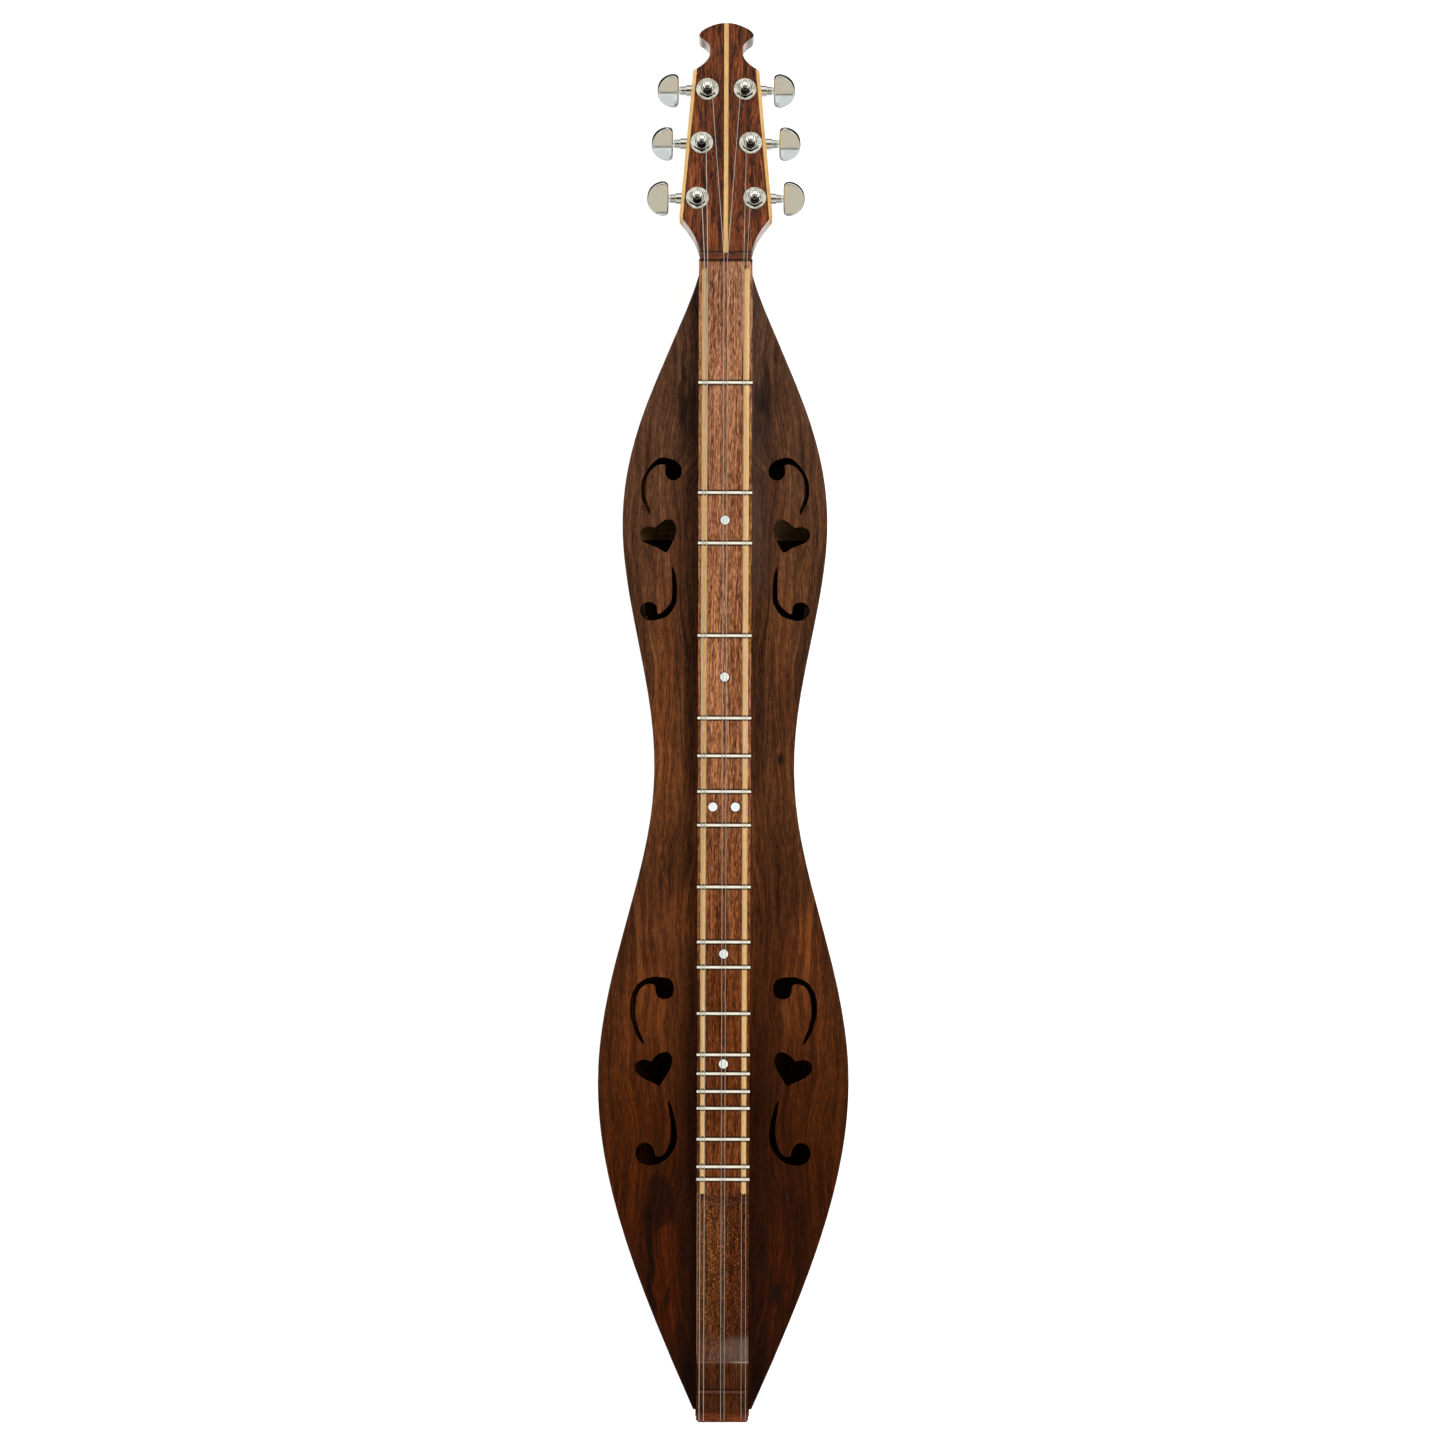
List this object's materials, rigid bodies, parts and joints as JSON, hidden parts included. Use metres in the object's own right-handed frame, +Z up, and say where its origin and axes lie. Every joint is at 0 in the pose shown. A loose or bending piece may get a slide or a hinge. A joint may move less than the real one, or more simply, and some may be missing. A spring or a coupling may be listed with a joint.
{
  "type": "mountain dulcimer",
  "caption": "Hourglass lap dulcimer with raised fretboard, double string courses, scroll and heart sound holes and geared tuning machines.",
  "frame": {"origin": "centre of the plan bounding box, on the underside of the back", "axes": "+X towards the treble side, +Y towards the tip of the peghead, +Z up, out of the soundboard"},
  "size_m": [0.1612, 0.9031, 0.0699],
  "materials": {
    "walnut_body": "oiled satin lacquer, figured walnut",
    "spruce_inside": "raw spruce",
    "walnut_fretboard": "satin, open-pored",
    "maple_trim": "satin",
    "rosewood_head": "gloss lacquer",
    "mahogany_cap": "satin",
    "pearl": "nacre, polished",
    "nickel_silver": "polished nickel silver",
    "string_steel": "plain and wound steel string",
    "brass_pins": "polished",
    "chrome": "polished chrome plate",
    "brass_gear": "machined"
  },
  "bodies": {
    "dulcimer_body": {"soundboard_treble": "walnut_body", "soundboard_bass": "walnut_body", "back_treble": "walnut_body", "back_bass": "walnut_body", "rib_treble": "walnut_body", "rib_bass": "walnut_body", "top_linings": "spruce_inside", "back_linings": "spruce_inside", "tail_block": "spruce_inside", "soundboard_braces": "spruce_inside", "back_braces": "spruce_inside", "fretboard": "walnut_fretboard", "fretboard_inlay_strips": "maple_trim", "position_dots": "pearl", "frets": "nickel_silver", "strings_bass_course": "string_steel", "strings_middle_course": "string_steel", "strings_melody_course": "string_steel", "hitch_pins": "brass_pins", "tail_cap": "mahogany_cap", "saddle": "rosewood_head", "nut": "rosewood_head", "peghead_center_strip": "maple_trim", "peghead_treble_half": "rosewood_head", "peghead_bass_half": "rosewood_head", "peghead_edge_strips": "maple_trim", "tuner_housings": "chrome", "tuner_bushings": "chrome", "tuner_washers": "chrome", "tuner_mount_screws": "chrome"},
    "key_bass1": {"tuner_button_bass1": "chrome", "worm_shaft_bass1": "chrome"},
    "post_bass1": {"string_post_bass1": "chrome", "worm_gear_bass1": "brass_gear", "string_winding_bass1": "string_steel"},
    "key_bass2": {"tuner_button_bass2": "chrome", "worm_shaft_bass2": "chrome"},
    "post_bass2": {"string_post_bass2": "chrome", "worm_gear_bass2": "brass_gear", "string_winding_bass2": "string_steel"},
    "key_bass3": {"tuner_button_bass3": "chrome", "worm_shaft_bass3": "chrome"},
    "post_bass3": {"string_post_bass3": "chrome", "worm_gear_bass3": "brass_gear", "string_winding_bass3": "string_steel"},
    "key_treble1": {"tuner_button_treble1": "chrome", "worm_shaft_treble1": "chrome"},
    "post_treble1": {"string_post_treble1": "chrome", "worm_gear_treble1": "brass_gear", "string_winding_treble1": "string_steel"},
    "key_treble2": {"tuner_button_treble2": "chrome", "worm_shaft_treble2": "chrome"},
    "post_treble2": {"string_post_treble2": "chrome", "worm_gear_treble2": "brass_gear", "string_winding_treble2": "string_steel"},
    "key_treble3": {"tuner_button_treble3": "chrome", "worm_shaft_treble3": "chrome"},
    "post_treble3": {"string_post_treble3": "chrome", "worm_gear_treble3": "brass_gear", "string_winding_treble3": "string_steel"}
  },
  "joints": [
    {"name": "turn_key_bass1", "type": "hinge", "parent": "dulcimer_body", "child": "key_bass1", "pos_m": [-0.0121, 0.40965, 0.02166], "axis": [1, 0, 0], "continuous": true},
    {"name": "turn_post_bass1", "type": "hinge", "parent": "dulcimer_body", "child": "post_bass1", "pos_m": [-0.0121, 0.40728, 0.04351], "axis": [0, 0.1908, 0.9816], "continuous": true},
    {"name": "turn_key_bass2", "type": "hinge", "parent": "dulcimer_body", "child": "key_bass2", "pos_m": [-0.0157, 0.37412, 0.02856], "axis": [1, 0, 0], "continuous": true},
    {"name": "turn_post_bass2", "type": "hinge", "parent": "dulcimer_body", "child": "post_bass2", "pos_m": [-0.0157, 0.37174, 0.05042], "axis": [0, 0.1908, 0.9816], "continuous": true},
    {"name": "turn_key_bass3", "type": "hinge", "parent": "dulcimer_body", "child": "key_bass3", "pos_m": [-0.0184, 0.3377, 0.03564], "axis": [1, 0, 0], "continuous": true},
    {"name": "turn_post_bass3", "type": "hinge", "parent": "dulcimer_body", "child": "post_bass3", "pos_m": [-0.0184, 0.33533, 0.0575], "axis": [0, 0.1908, 0.9816], "continuous": true},
    {"name": "turn_key_treble1", "type": "hinge", "parent": "dulcimer_body", "child": "key_treble1", "pos_m": [0.0121, 0.40965, 0.02166], "axis": [1, 0, 0], "continuous": true},
    {"name": "turn_post_treble1", "type": "hinge", "parent": "dulcimer_body", "child": "post_treble1", "pos_m": [0.0121, 0.40728, 0.04351], "axis": [0, 0.1908, 0.9816], "continuous": true},
    {"name": "turn_key_treble2", "type": "hinge", "parent": "dulcimer_body", "child": "key_treble2", "pos_m": [0.0157, 0.37412, 0.02856], "axis": [1, 0, 0], "continuous": true},
    {"name": "turn_post_treble2", "type": "hinge", "parent": "dulcimer_body", "child": "post_treble2", "pos_m": [0.0157, 0.37174, 0.05042], "axis": [0, 0.1908, 0.9816], "continuous": true},
    {"name": "turn_key_treble3", "type": "hinge", "parent": "dulcimer_body", "child": "key_treble3", "pos_m": [0.0184, 0.3377, 0.03564], "axis": [1, 0, 0], "continuous": true},
    {"name": "turn_post_treble3", "type": "hinge", "parent": "dulcimer_body", "child": "post_treble3", "pos_m": [0.0184, 0.33533, 0.0575], "axis": [0, 0.1908, 0.9816], "continuous": true}
  ],
  "couplings": [
    {"joint": "turn_post_bass1", "follows": "turn_key_bass1", "ratio": 0.071429},
    {"joint": "turn_post_bass2", "follows": "turn_key_bass2", "ratio": 0.071429},
    {"joint": "turn_post_bass3", "follows": "turn_key_bass3", "ratio": 0.071429},
    {"joint": "turn_post_treble1", "follows": "turn_key_treble1", "ratio": 0.071429},
    {"joint": "turn_post_treble2", "follows": "turn_key_treble2", "ratio": 0.071429},
    {"joint": "turn_post_treble3", "follows": "turn_key_treble3", "ratio": 0.071429}
  ]
}
